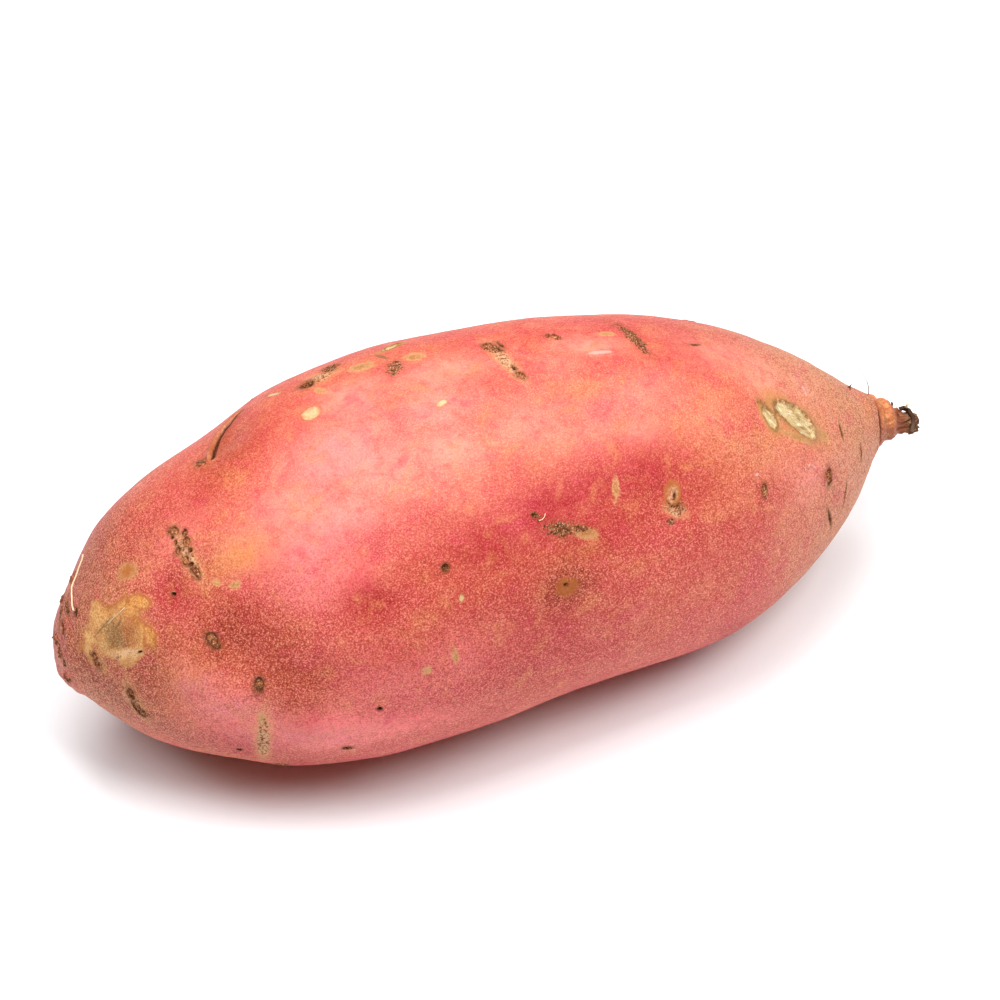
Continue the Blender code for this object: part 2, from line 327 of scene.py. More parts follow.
def addHiddenMarks():
    draw = np.random.default_rng(hiddenSide["seed"])
    low, high = hiddenSide["aroundFrom"], hiddenSide["aroundTo"]
    looks = list(hiddenSide["looks"])
    for along in np.linspace(-74, 66, hiddenSide["rows"]):
        along += draw.uniform(-3, 3)
        around = draw.uniform(low, high)
        count = draw.integers(1, 5)
        step = draw.uniform(4.0, 7.0)
        if count > 2:
            middle = around + step * (count - 1) / 2
            skinMarks["cork"].append((along, middle, count * 3.0, draw.uniform(2.0, 2.8), 88))
        for k in range(count):
            look = looks[draw.choice(len(looks), p=[hiddenSide["looks"][name][2] for name in looks])]
            length = hiddenSide["looks"][look][0] * draw.uniform(0.8, 1.3)
            width = hiddenSide["looks"][look][1] * draw.uniform(0.8, 1.2)
            place = (along + draw.uniform(-0.8, 0.8), around + k * step)
            skinMarks[look].append((*place, length, width, draw.uniform(55, 100)))
    for _ in range(hiddenSide["stains"]):
        look = ("ochre", "cream")[draw.choice(2, p=(0.75, 0.25))]
        place = (draw.uniform(-72, 62), draw.uniform(low, high))
        skinMarks[look].append((*place, draw.uniform(2, 4.5), draw.uniform(1.4, 2.6), draw.uniform(-90, 90)))
    for _ in range(hiddenSide["zones"]):
        name = ("crimson", "magenta", "blush", "peach", "amber", "rust")[draw.integers(0, 6)]
        place = (draw.uniform(-72, 62), draw.uniform(low, high))
        skinZones[name].append((*place, draw.uniform(5, 16), draw.uniform(3, 8), draw.uniform(0.5, 1.1)))


addHiddenMarks()


def markFrame(form, along, around, turn):
    # the mark's centre, its long side, its short side and the normal
    place, normal = onSkin(form, along, around)
    lengthwise = np.array([1.0, 0, 0]) - normal * normal[0]
    lengthwise /= np.linalg.norm(lengthwise)
    crosswise = np.cross(normal, lengthwise)
    angle = math.radians(turn)
    longSide = lengthwise * math.cos(angle) + crosswise * math.sin(angle)
    return place, longSide, np.cross(normal, longSide), normal


farAway = 4.0  # a mark's field stops here, in half sizes from its centre
markDepth = 4.0  # mm: marks don't reach deeper than this, or than their own length
zoneDepth = 25.0  # mm: zones don't reach through to the far side


def markField(form, points, marks, grain=None):
    # how far each point is from the nearest mark: 0 at its centre, 1 at its edge
    field = np.full(len(points), farAway)
    for along, around, length, width, turn in marks:
        place, longSide, shortSide, normal = markFrame(form, along, around, turn)
        away = points - place
        lengthways, sideways = away @ longSide, away @ shortSide
        here = np.hypot(lengthways / (length / 2), sideways / (width / 2))
        here = np.where(np.abs(away @ normal) > max(length, markDepth), farAway, here)
        if grain is not None:  # keeps the nearest mark's own long and short way, in mm
            near = here < field
            grain[near] = np.stack([lengthways, sideways, np.full(len(points), along)], 1)[near]
        field = np.minimum(field, here)
    return field


def zoneField(form, points, zones):
    field = np.zeros(len(points))
    for along, around, reachAlong, reachRound, strength in zones:
        place, longSide, shortSide, normal = markFrame(form, along, around, 0)
        away = points - place
        u = away @ longSide / reachAlong
        v = away @ shortSide / reachRound
        facing = np.abs(away @ normal) < zoneDepth
        field = np.maximum(field, strength * facing * np.exp(-(u * u + v * v) * 0.8))
    return field


skin = {
    "voxel": 1.0,  # mm, the even mesh that all detail starts from
    "settle": 6,  # smoothing passes after the remesh
    "swell": (14.0, 0.35),  # lumps of the whole surface: size and height in mm
    "ripple": (3.5, 0.07),
    "crownRough": 0.16,  # mm
    "strawDepth": 0.16,
}


def makeForm():
    form = bpy.data.objects.new("rootForm", rootNode.data.copy())
    bpy.context.scene.collection.objects.link(form)
    pickOnly(form)
    bpy.ops.object.mode_set(mode="EDIT")
    bpy.ops.mesh.select_all(action="SELECT")
    bpy.ops.mesh.remove_doubles(threshold=1e-6)
    bpy.ops.mesh.tris_convert_to_quads()
    bpy.ops.object.mode_set(mode="OBJECT")
    applyModifier(form, "SUBSURF", levels=2, render_levels=2)
    return form


def subdivideNear(obj, pick):
    # one more cut on every face whose middle is picked
    pickOnly(obj)
    bpy.ops.object.mode_set(mode="EDIT")
    bpy.ops.mesh.select_mode(type="FACE")
    bpy.ops.mesh.select_all(action="DESELECT")
    bpy.ops.object.mode_set(mode="OBJECT")
    mesh = obj.data
    centres = np.empty(len(mesh.polygons) * 3, np.float32)
    mesh.polygons.foreach_get("center", centres)
    mesh.polygons.foreach_set("select", pick(centres.reshape(-1, 3).astype(float) / mm))
    bpy.ops.object.mode_set(mode="EDIT")
    bpy.ops.mesh.subdivide(number_cuts=1, ngon=False)
    bpy.ops.mesh.select_all(action="DESELECT")
    bpy.ops.object.mode_set(mode="OBJECT")


# How far out from a mark, in half sizes, the mesh is cut once, twice and three times.

detailReach = [
    {"scar": 1.7, "pit": 1.8, "crack": 2.4, "vein": 2.6, "cork": 1.3, "scab": 1.5, "straw": 1.3,
     "tanSpot": 1.3, "cream": 1.4, "flake": 1.6, "patch": 1.1, "burr": 1.5},
    {"scar": 1.4, "pit": 1.4, "crack": 1.8, "vein": 2.0, "scab": 1.2, "flake": 1.3, "straw": 1.1,
     "burr": 1.1},
    {"crack": 1.2, "vein": 1.2, "flake": 1.0},
]
creaseReach = [3.0, 1.6, 0.9]
tailFrom = [73.0, 75.0, 80.3]


def makeSkin(form):
    root = bpy.data.objects.new("sweetPotatoSkin", form.data.copy())
    bpy.context.scene.collection.objects.link(root)
    pickOnly(root)
    root.data.remesh_voxel_size = skin["voxel"] * mm
    root.data.remesh_voxel_adaptivity = 0
    bpy.ops.object.voxel_remesh()
    applyModifier(root, "SMOOTH", factor=0.5, iterations=skin["settle"])
    line = creasePath(form)
    for reach, fromCrease, fromTail in zip(detailReach, creaseReach, tailFrom):

        def wantsDetail(points):
            pick = np.abs(creaseField(line, points)[0]) < fromCrease
            pick |= points[:, 0] > fromTail
            for look, far in reach.items():
                pick |= markField(form, points, skinMarks[look]) < far
            return pick

        subdivideNear(root, wantsDetail)
    applyModifier(root, "SHRINKWRAP", target=form, wrap_method="NEAREST_SURFACEPOINT")
    print("skin mesh:", len(root.data.polygons), "faces")
    return root


# The crease on the shoulder: a folded lip with a dark slit on the tail's side of it.

crease = {
    "route": [(-42.6, 51), (-44.4, 51), (-46.4, 53), (-48.2, 55), (-49.8, 58), (-51.3, 64), (-52.6, 71)],
    "steps": 90,
    "rounding": 12,  # passes that round the corners of the route
    "lipWidth": 0.5,  # mm
    "lipHeight": 0.5,
    "slitWidth": 0.3,
    "slitDepth": 1.1,
    "near": 6,  # beyond this the skin counts as far from the crease
    "far": 99.0,
}


def creasePath(form):
    knots = np.array([np.concatenate(onSkin(form, *place)) for place in crease["route"]])
    steps = np.linspace(0, len(knots) - 1, crease["steps"])
    route = np.stack([np.interp(steps, np.arange(len(knots)), knots[:, k]) for k in range(6)], axis=1)
    line, up = route[:, :3], route[:, 3:]
    for _ in range(crease["rounding"]):
        line[1:-1] = (line[:-2] + 2 * line[1:-1] + line[2:]) / 4
    return line, up


def creaseField(path, points):
    # the distance across the crease (above 0 on the tail's side) and the share of its length
    line, up = path
    across = np.full(len(points), crease["far"])
    share = np.zeros(len(points))
    low, high = line.min(0) - crease["near"], line.max(0) + crease["near"]
    near = np.where(np.all((points > low) & (points < high), axis=1))[0]
    if not len(near):
        return across, share
    gaps = np.linalg.norm(points[near, None] - line[None], axis=2)
    best = gaps.argmin(1)
    heading = np.gradient(line, axis=0)
    sideways = np.cross(heading, up)
    sideways /= np.linalg.norm(sideways, axis=1)[:, None]
    sideways *= np.sign(sideways[:, 0].sum())
    offset = points[near] - line[best]
    side = np.sign((offset * sideways[best]).sum(1))
    side[best >= len(line) - 2] = 1  # past its lower end there is no lip
    across[near] = gaps[np.arange(len(near)), best] * np.where(side == 0, 1, side)
    share[near] = best / (len(line) - 1)
    return across, share


# The tail: the neck ends in a groove, then come the orange collar and the dried stub.

tail = {
    "groove": 75.7,  # mm along the root
    "grooveDepth": 0.6,
    "grooveWidth": 0.4,
    "collarEnd": 80.4,
    "collarRough": 0.16,
    "collarRings": [  # (mm along, reach, mm up, share of it below)
        (76.5, 1.0, 0.6, 0), (78.2, 1.5, -0.8, 0), (80.1, 0.5, 0.4, 0.3),
    ],
    "collarFace": 80.2,
    "collarPull": 0.7,  # how far the collar's face is drawn back round the stub
    "wrinkle": 0.16,  # fine lengthwise wrinkles where the root narrows
    "stubFibre": 0.5,
    "stubKnots": 0.4,
    "stubPush": 0.5,
    "stubDroop": 1.1,
    "tipStart": 83.0,
    "tipTorn": 2.2,
}


def grooveField(points):
    # 1 in the groove, which runs round the front and the underside only
    around = aroundOf(points)
    middle = tail["groove"] - 0.4 * smoothStep(100, 180, around)
    return hump(points[:, 0], middle, tail["grooveWidth"]) * hump(around, 150, 52)


def measureFields(root, form):
    # every mark, zone and line, measured on the smooth skin before it is sculpted
    points = readPoints(root.data)
    fields = {"grain": np.zeros((len(points), 3))}
    for look, marks in skinMarks.items():
        grain = fields["grain"] if look == "straw" else None
        fields[look] = markField(form, points, marks, grain)
    for zone, places in skinZones.items():
        fields[zone] = zoneField(form, points, places)
    fields["creaseAcross"], fields["creaseShare"] = creaseField(creasePath(form), points)
    fields["groove"] = grooveField(points)
    fields["lowSide"] = hump(aroundOf(points), 205, 62) * smoothStep(72, 76, points[:, 0])
    print("marks and zones measured")
    return fields


# What each look does to the skin: (look, how ragged, its edge, the edge's softness, mm up, mm of
# rough, mm of crumbs). A look's field is 1 at the size that its marks are given.

swells = [
    ("scar", 0.35, 0.75, 0.2, -0.3, 0, 0), ("scar", 0.35, 0.45, 0.15, 0.22, 0, 0.3),
    ("pit", 0.25, 0.525, 0.425, -0.6, 0, 0), ("pit", 0.25, 0.7, 0.12, 0, 0, 0.2),
    ("crack", 0.25, 0.475, 0.425, -0.45, 0, 0), ("vein", 0, 0.7, 0.5, -0.12, 0, 0),
    ("cork", 0.4, 0.95, 0.12, 0.05, 0.14, 0.12), ("scab", 0.5, 0.95, 0.12, 0.02, 0.24, 0.2),
    ("patch", 0.3, 1.0, 0.12, 0.06, 0.08, 0), ("core", 0, 0.9, 0.3, -0.14, 0, 0),
    ("tanSpot", 0, 0.8, 0.12, -0.12, 0, 0), ("cream", 0, 0.96, 0.1, -0.08, 0, 0),
    ("flake", 0, 0.8, 0.25, 0.12, 0, 0), ("burr", 0, 0.8, 0.6, 0.4, 0.8, 0),
]

# Their raised rims: (look, how ragged, middle, width, mm up, how much the roughness adds).

rims = [
    ("scar", 0.35, 1.0, 0.22, 0.15, 2.0), ("pit", 0.25, 1.1, 0.22, 0.1, 0),
    ("crack", 0.25, 1.3, 0.3, 0.1, 0), ("tanSpot", 0, 1.05, 0.2, 0.1, 0),
    ("straw", 0.2, 1.0, 0.14, 0.16, 0),
]


def inside(field, edge, soft):
    return 1 - smoothStep(edge - soft, edge + soft, field)


def marksHeight(points, fields):
    rough = wander(points, 0.7, 4)
    ragged = wander(points, 1.6, 5)
    crumb = wander(points, 0.35, 10)
    height = (ragged + rough) * skin["crownRough"] * (1 - smoothStep(-83, -76, points[:, 0]))
    for look, tear, edge, soft, up, roughUp, crumbUp in swells:
        height += (up + roughUp * rough + crumbUp * crumb) * inside(fields[look] + tear * ragged, edge, soft)
    for look, tear, middle, width, up, rougher in rims:
        height += up * hump(fields[look] + tear * ragged, middle, width) * (1 + rougher * rough)
    streaks = wander(fields["grain"] * np.array([0.22, 1.0, 1.0]), 0.6, 12)
    sunk = skin["strawDepth"] * (streaks - 1)
    return height + sunk * inside(fields["straw"] + 0.2 * ragged, 0.85, 0.12)


def creaseHeight(fields):
    across, share = fields["creaseAcross"], fields["creaseShare"]
    strength = smoothStep(0.0, 0.25, share) * (1 - smoothStep(0.92, 1.0, share))
    lip = hump(across, -0.5, crease["lipWidth"])
    slit = hump(across, 0.35, crease["slitWidth"] * (0.7 + 0.8 * share))
    return (crease["lipHeight"] * lip - crease["slitDepth"] * slit) * strength


def tailHeight(points, fields, stub):
    along, around = points[:, 0], aroundOf(points)
    turn = np.radians(around)
    lengthwise = np.stack([along / 6, np.cos(turn) * 9, np.sin(turn) * 9], 1)
    narrow = smoothStep(50, 70, along) * (1 - smoothStep(tail["collarEnd"], tail["collarEnd"] + 1, along))
    height = wander(lengthwise, 1.0, 3) * tail["wrinkle"] * narrow
    height -= tail["grooveDepth"] * fields["groove"]
    fibre = wander(np.stack([along / 8, points[:, 1], points[:, 2]], 1), 0.55, 6)
    height += stub * (tail["stubFibre"] * fibre + tail["stubKnots"] * wander(points, 1.3, 7))
    collar = smoothStep(tail["groove"], tail["groove"] + 1, along)
    height += tail["collarRough"] * wander(points, 1.2, 8) * collar
    top = hump(around, 75, 55)
    for middle, reach, up, below in tail["collarRings"]:
        height += up * hump(along, middle, reach) * (below + (1 - below) * top)
    return height


def sculpt(root, form, fields):
    points = readPoints(root.data)
    stub = smoothStep(tail["collarEnd"] - 0.2, tail["collarEnd"] + 0.8, points[:, 0])
    height = marksHeight(points, fields) + creaseHeight(fields) + tailHeight(points, fields, stub)
    for seed, (size, tall) in enumerate((skin["swell"], skin["ripple"]), 1):
        height += wander(points, size, seed) * tall * (1 - smoothStep(70, 76, points[:, 0]))
    for *place, tall in skinDents:
        height += tall * zoneField(form, points, [(*place, 1.0)])
    points += readNormals(root.data) * height[:, None]
    points[:, 0] += tail["stubPush"] * stub - tail["collarPull"] * hump(points[:, 0], tail["collarFace"], 1.0)
    points[:, 2] -= tail["stubDroop"] * stub
    tip = smoothStep(tail["tipStart"], tail["tipStart"] + 1.5, points[:, 0])
    points[:, 0] -= tip * np.abs(wander(points, 0.8, 9)) * tail["tipTorn"]
    points[:, 2] = np.maximum(points[:, 2], 0.0)
    writePoints(root.data, points)
    print("skin sculpted")


def storeFields(root, fields):
    for name, values in fields.items():
        kind, slot = ("FLOAT", "value") if values.ndim == 1 else ("FLOAT_VECTOR", "vector")
        data = root.data.attributes.new(name, kind, "POINT").data
        data.foreach_set(slot, values.astype(np.float32).ravel())
    print("colour fields stored:", len(fields))


# Rootlets grow out of one small face each. "places" lie on the skin as (mm along, degrees round,
# mm above it); "steps" stand free, in mm from the root of the hair. Shade 0.5 is dark, 1 pale.

rootlets = {
    "tailHair": {
        "from": (75.0, 77), "radius": (0.12, 0.04), "shade": (0.5, 0.7),
        "steps": [(0.15, 0.5, 0.7), (0.25, 1.0, 1.4), (0.2, 1.6, 2.1), (0.0, 2.3, 2.8), (-0.3, 3.1, 3.5),
                  (-0.6, 3.9, 4.2)],
    },
    "tailSpur": {
        "from": (69.8, 86), "radius": (0.15, 0.06), "shade": (0.5, 0.6),
        "steps": [(0.35, 0.3, 0.4), (0.8, 0.55, 0.7)],
    },
    "crownHair": {
        "from": (-80.6, 94), "radius": (0.15, 0.12), "shade": (0.9, 1.0),
        "places": [(-80.5, 91, 0.4), (-80.3, 87, 0.6), (-80.1, 83, 0.6), (-79.7, 77, 0.7), (-79.3, 71, 0.7),
                   (-78.7, 68, 0.6), (-78.1, 66, 0.5), (-77.3, 63, 0.5), (-76.5, 60, 0.4), (-76.0, 58, 0.5)],
    },
    "curl": {
        "from": (-3.7, 134.6), "radius": (0.1, 0.08), "shade": (0.9, 1.0),
        "places": [(-3.3, 134.9, 0.2), (-2.8, 134.8, 0.3), (-2.3, 134.2, 0.3), (-2.0, 133.4, 0.2)],
    },
    "crownFibre": {
        "from": (-77.0, 121.5), "radius": (0.09, 0.07), "shade": (0.9, 1.0),
        "places": [(-76.2, 120.6, 0.2), (-75.3, 119.4, 0.3), (-74.2, 118.2, 0.25), (-73.2, 117.0, 0.2)],
    },
    "stubHook": {
        "from": (82.2, 70), "radius": (0.5, 0.4), "shade": (0.35, 0.62),
        "steps": [(0.1, 0.3, 0.5), (0.7, 0.2, 0.6), (1.5, -0.5, 0.3), (1.9, -1.7, -0.5), (1.6, -2.7, -1.5),
                  (0.9, -3.4, -2.2)],
    },
    "stubSplinter": {
        "from": (82.6, 95), "radius": (0.3, 0.12), "shade": (0.6, 0.9),
        "steps": [(0.1, 0.2, 0.5), (0.3, 0.3, 1.1), (0.8, 0.2, 1.3)],
    },
    "collarBurr": {
        "from": (80.2, 90), "radius": (0.28, 0.2), "shade": (0.5, 0.55),
        "steps": [(0.0, 0.2, 0.4), (-0.1, 0.3, 0.8)],
    },
}


def rootletRoute(form, plan, start):
    if "steps" in plan:
        return [start + Vector(step) * mm for step in plan["steps"]]
    route = []
    for along, around, lift in plan["places"]:
        place, normal = onSkin(form, along, around)
        route.append(Vector(place + normal * lift) * mm)
    return route


def growRootlet(mesh, form, plan, layer):
    root = Vector(onSkin(form, *plan["from"])[0]) * mm
    face = min(mesh.faces, key=lambda f: (f.calc_center_median() - root).length_squared)
    start = face.calc_center_median()
    points = [start] + rootletRoute(form, plan, start)
    (thick, thin), (low, high) = plan["radius"], plan["shade"]
    for k, (before, after) in enumerate(zip(points, points[1:])):
        share = k / max(1, len(points) - 2)
        radius = (thick + (thin - thick) * share) * mm
        heading = (points[min(k + 2, len(points) - 1)] - before).normalized()
        face = bmesh.ops.extrude_discrete_faces(mesh, faces=[face])["faces"][0]
        middle = face.calc_center_median()
        for vert in face.verts:
            spoke = vert.co - middle
            spoke -= heading * spoke.dot(heading)
            vert.co = after + spoke.normalized() * radius
            vert[layer] = low + (high - low) * share


def growRootlets(root, form):
    mesh = bmesh.new()
    mesh.from_mesh(root.data)
    layer = mesh.verts.layers.float.new("rootlet")
    for plan in rootlets.values():
        growRootlet(mesh, form, plan, layer)
    mesh.to_mesh(root.data)
    mesh.free()
    print("rootlets grown:", len(rootlets))


# The paint. A name stands for a noise, or for a field that is stored with the mesh; where a
# colour is wanted it stands for that colour.

skinMaterial = bpy.data.materials.new("sweetPotatoSkin")
skinMaterial.use_nodes = True
patterns = {}

finish = {
    "waxRough": (0.62, 0.5),  # the healthy skin's roughness, between these two
    "dullRough": 0.88,  # scars, scabs, cork and the stub
    "specular": 0.26,
    "reliefDepth": 0.00006,  # metres
}

# Each colour as a paint mixer reads it, 0 to 255. Pale, blush, pink and peach also serve for painted sheen,
# highlights and light from the floor, and rust, brown, crimson and dark for painted shade, where the zones
# and the crease use them.

paints = {
    "coral": (202, 84, 66), "rose": (200, 70, 68), "peach": (222, 124, 98), "pale": (236, 160, 138),
    "blush": (250, 124, 118), "pink": (238, 136, 138), "crimson": (170, 26, 34),
    "magenta": (200, 48, 76), "amber": (212, 130, 76), "rust": (178, 66, 36), "brown": (152, 76, 40),
    "tan": (194, 130, 86), "speckDark": (120, 36, 22), "speckPale": (255, 176, 152),
    "ochre": (158, 104, 56), "ochrePale": (196, 150, 100), "cream": (206, 180, 136),
    "flake": (216, 168, 156), "gold": (224, 152, 70), "goldRim": (172, 98, 40),
    "patch": (206, 146, 80), "patchPale": (228, 178, 110), "core": (124, 92, 42),
    "coreBrown": (160, 86, 30), "bleach": (228, 184, 140),
    "corkPale": (208, 158, 118), "corkLight": (222, 186, 150), "corkBrown": (112, 58, 30),
    "scabBrown": (118, 62, 30), "scabPale": (158, 98, 64), "dark": (70, 36, 14),
    "scarRing": (94, 44, 20), "scarHeart": (168, 98, 56), "lip": (172, 104, 72),
    "straw": (200, 172, 122), "strawWhite": (228, 212, 174), "strawLine": (126, 92, 54),
    "strawEdge": (104, 72, 34), "halo": (178, 126, 72), "tanHeart": (200, 140, 104),
    "collar": (184, 112, 72), "collarLow": (140, 68, 46), "stubDark": (50, 30, 20),
    "stubPale": (166, 126, 88), "hairDark": (70, 44, 28), "hairPale": (246, 216, 176),
}

# The skin's noises, as (lumps to the mm, detail, roughness, distortion).

skinNoises = {
    "wide": (0.045, 3.0, 0.55),
    "blotch": (0.15, 4.0, 0.6, 0.4),
    "hue": (0.24, 3.0, 0.55, 0.6),
    "lobes": (0.33, 3.0, 0.6),
    "small": (0.5, 4.0, 0.62),
    "ragged": (0.9, 5.0, 0.68),
    "grain": (1.3, 3.0, 0.7),
    "crumb": (1.7, 3.0, 0.7),
    "grit": (2.2, 2.0, 0.7),
    "speck": (3.4, 2.0, 0.8),
}
longNoises = {"streak": (0.8, 4.0, 0.6), "dash": (1.7, 3.0, 0.6, 0.5)}
longStretch = 0.2


def linear(mix):
    return (*(c / 12.92 if c <= 0.04045 else ((c + 0.055) / 1.055) ** 2.4 for c in np.divide(mix, 255)), 1.0)


def patternOf(name):
    if name not in patterns:
        patterns[name] = addNode("ShaderNodeAttribute", {}, attribute_name=name).outputs["Fac"]
    return patterns[name]


def addNode(kind, inputs, tree=skinMaterial.node_tree, **settings):
    node = tree.nodes.new(kind)
    for name, value in settings.items():
        setattr(node, name, value)
    for name, value in inputs.items():
        socket = node.inputs[name]
        if isinstance(value, str):
            value = patternOf(value)
        if isinstance(value, bpy.types.NodeSocket):
            tree.links.new(value, socket)
        else:
            socket.default_value = value
    return node


def noiseAt(where, scale, detail, roughness, distortion=0.0):
    inputs = {"Vector": where, "Scale": scale, "Detail": detail, "Roughness": roughness}
    return addNode("ShaderNodeTexNoise", {**inputs, "Distortion": distortion}).outputs["Fac"]


def stretched(where, x, y, z):
    return addNode("ShaderNodeMapping", {"Vector": where, "Scale": (x, y, z)}).outputs[0]


def rampOf(value, low, high, toLow=0.0, toHigh=1.0):
    inputs = {"Value": value, "From Min": low, "From Max": high, "To Min": toLow, "To Max": toHigh}
    return addNode("ShaderNodeMapRange", inputs, interpolation_type="SMOOTHSTEP").outputs["Result"]


def mathOf(operation, a, b, c=0.0):
    return addNode("ShaderNodeMath", {0: a, 1: b, 2: c}, operation=operation).outputs[0]


def addUp(value, share, rest):
    return mathOf("MULTIPLY_ADD", value, share, rest)


def times(*values):
    out = values[0]
    for value in values[1:]:
        out = mathOf("MULTIPLY", out, value)
    return out


def greatest(*values):
    out = values[0]
    for value in values[1:]:
        out = mathOf("MAXIMUM", out, value)
    return out


def over(colour, amount, top):
    # lays the top colour over the first one
    colour, top = (linear(paints[c]) if isinstance(c, str) else c for c in (colour, top))
    return addNode("ShaderNodeMix", {0: amount, 6: colour, 7: top}, data_type="RGBA").outputs[2]


def patterned(colour, *layers):
    # each layer is (pattern, where it starts, where it is full, how much, colour)
    for pattern, start, full, most, top in layers:
        colour = over(colour, rampOf(pattern, start, full, 0.0, most), top)
    return colour


def torn(name, amount, by="ragged"):
    # the field with its rings bent by noise
    return mathOf("ADD", name, addUp(by, amount, -amount / 2))


def within(field, low, high, most=1.0):
    # most of all nearer than low, and 0 past high
    return rampOf(field, low, high, most, 0.0)


def ringOf(field, inner, middle, outer):
    return times(rampOf(field, inner, middle), within(field, middle, outer))


def groundColour():
    # the healthy skin: salmon and rose clouds, redder or paler in zones, some of which are painted sheen,
    # highlights, light from the floor and shade, under a fine speckle
    cloudy = addUp("blotch", 30.0, "along")
    colour = patterned("coral", ("wide", 0.36, 0.64, 1.0, "rose"), ("blotch", 0.48, 0.72, 0.6, "peach"),
                       ("streak", 0.55, 0.8, 0.3, "amber"), (cloudy, 48.0, 80.0, 0.85, "tan"))
    mottle = rampOf("small", 0.3, 0.62, 0.55)
    # the zones lay the skin's own colours, and in some places painted sheen, painted highlights, painted
    # light from the floor and painted shade
    for zone in ("peach", "tan", "pale", "blush", "pink", "amber", "rust", "brown", "magenta", "crimson"):
        colour = over(colour, times(zone, mottle), zone)
    colour = patterned(colour, ("hue", 0.52, 0.72, 0.4, "amber"), ("hue", 0.48, 0.28, 0.42, "magenta"))
    dashes = times(rampOf("dash", 0.58, 0.7), rampOf("wide", 0.4, 0.6, 0.0, 0.25))
    colour = over(colour, dashes, "brown")

    # the speckle is coarser low down and on the tan, rust and brown zones, which are partly wear and partly
    # painted shade, and less pale where it is red
    bare = addUp("pale", -0.4, rampOf("up", 46, 64, 0.8, 0.5))
    wornAndShaded = addUp("tan", 0.3, addUp("rust", 0.6, "brown"))
    coarse = addUp(wornAndShaded, 0.5, bare)
    pales = addUp("blush", -0.35, addUp("crimson", -0.25, bare))
    colour = over(colour, times(rampOf("small", 0.5, 0.3, 0.0, 0.4), coarse), "rust")
    for size, low, high, most in (("grain", 0.34, 0.68, 0.2), ("speck", 0.36, 0.66, 0.7)):
        colour = over(colour, times(rampOf(size, 0.5, low, 0.0, most), coarse), "speckDark")
        colour = over(colour, times(rampOf(size, 0.5, high, 0.0, most), pales), "speckPale")
    crumbs = times(rampOf("grain", 0.47, 0.42, 0.0, 0.6), rampOf("speck", 0.6, 0.5), wornAndShaded)
    return over(colour, crumbs, "speckDark")


def paintStains(colour):
    ochre = torn("ochre", 1.4)
    tint = patterned("ochre", (ochre, 0.1, 0.9, 1.0, "ochrePale"), ("grain", 0.5, 0.35, 0.5, "goldRim"),
                     ("speck", 0.5, 0.64, 0.5, "patchPale"), ("brown", 0.6, 1.0, 1.0, "coreBrown"))
    tint = over(tint, "gold", "goldRim")
    amount = times(within(ochre, 0.6, 1.2), rampOf("grit", 0.3, 0.55, 0.5, 0.95))
    colour = over(colour, amount, tint)
    cream = torn("cream", 0.7)
    colour = over(colour, times(ringOf(cream, 0.8, 1.0, 1.35), 0.5), "ochre")
    tint = patterned("ochrePale", ("grain", 0.35, 0.65, 1.0, "cream"), (cream, 0.7, 0.1, 0.6, "cream"))
    colour = over(colour, within(cream, 0.7, 1.05), tint)
    return over(colour, within(torn("flake", 1.0), 0.5, 1.1, 0.75), "flake")


def paintPatch(colour):
    patch = mathOf("ADD", torn("patch", 1.9, "lobes"), addUp("ragged", 1.4, -0.7))
    tint = over(patterned("patch", ("streak", 0.4, 0.62, 1.0, "patchPale")), "gold", "gold")
    tint = patterned(tint, ("ragged", 0.5, 0.32, 0.55, "goldRim"))
    side = rampOf(addUp("small", 5.0, "along"), -73.5, -71.0)  # the core is browner away from the crown
    tint = over(tint, within(torn("core", 1.8), 0.5, 1.4, 0.9), over("core", side, "coreBrown"))
    tint = over(tint, within(torn("bleach", 1.8), 0.4, 1.4, 0.8), "bleach")
    tint = patterned(tint, ("grit", 0.48, 0.34, 0.6, "coreBrown"), ("speck", 0.5, 0.36, 0.4, "scabBrown"),
                     ("speck", 0.5, 0.66, 0.5, "bleach"))
    rim = times(ringOf(patch, 0.45, 0.85, 1.2), rampOf("gold", 0.0, 0.6, 0.35, 0.9))
    return over(colour, within(patch, 0.75, 1.2, 0.92), over(tint, rim, "goldRim"))


def paintCork(colour):
    # crumbs of cork and darker scab, which thin out to dots at their edges
    grit = addUp("grit", 2.0, -1.0)
    cork = mathOf("ADD", torn("cork", 1.4), grit)
    corkArea = within(cork, 0.7, 1.1, 0.9)
    tint = patterned("corkBrown", ("crumb", 0.4, 0.54, 1.0, "corkPale"),
                     ("speck", 0.52, 0.66, 0.5, "corkLight"))
    colour = over(colour, within(cork, 0.9, 1.9, 0.3), "patchPale")
    colour = over(colour, corkArea, tint)
    scab = mathOf("ADD", torn("scab", 1.6), grit)
    scabArea = within(scab, 0.75, 1.05)
    tint = patterned("scabBrown", ("crumb", 0.44, 0.6, 1.0, "scabPale"), ("grit", 0.5, 0.4, 0.9, "dark"),
                     ("speck", 0.56, 0.68, 0.8, "corkLight"))
    colour = over(colour, within(scab, 0.9, 2.0, 0.35), "brown")
    return over(colour, scabArea, tint), greatest(corkArea, scabArea)


